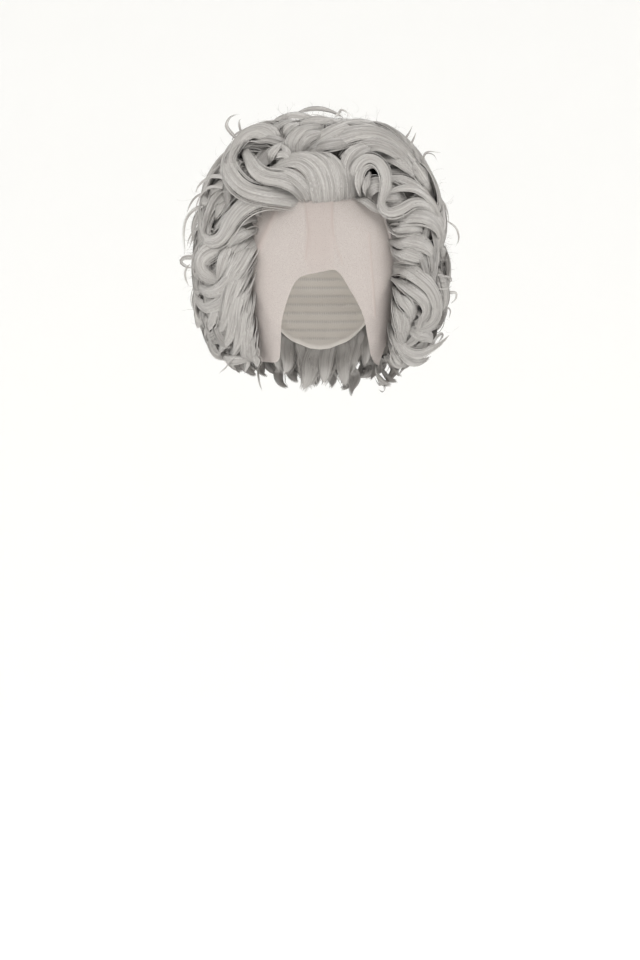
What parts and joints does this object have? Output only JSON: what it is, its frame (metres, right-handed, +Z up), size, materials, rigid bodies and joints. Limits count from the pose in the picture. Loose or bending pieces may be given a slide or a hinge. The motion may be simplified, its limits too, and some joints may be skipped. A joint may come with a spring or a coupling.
{
  "type": "lace front wig",
  "caption": "Short curly lace front wig: silver-grey curls swept up from a lace hairline, on an open net cap, with uncut lace hanging over the brow.",
  "frame": {"origin": "middle of the head that wears the wig, where the cap sits on it", "axes": "+Z up, the face looks to -Y, +X to the right of someone who looks at the face"},
  "size_m": [0.254, 0.2321, 0.2794],
  "materials": {
    "hair": "silver-grey synthetic hair, soft sheen along the strands",
    "cap_net": "fine stretch net with sewn weft bands, matte",
    "lace": "sheer beige hexagonal net, matte"
  },
  "bodies": {
    "root": {"cap": "cap_net", "lace_front": "lace", "front_hair": "hair", "crown_hair": "hair", "left_side_hair": "hair", "right_side_hair": "hair", "back_hair": "hair", "nape_hair": "hair"}
  },
  "joints": []
}
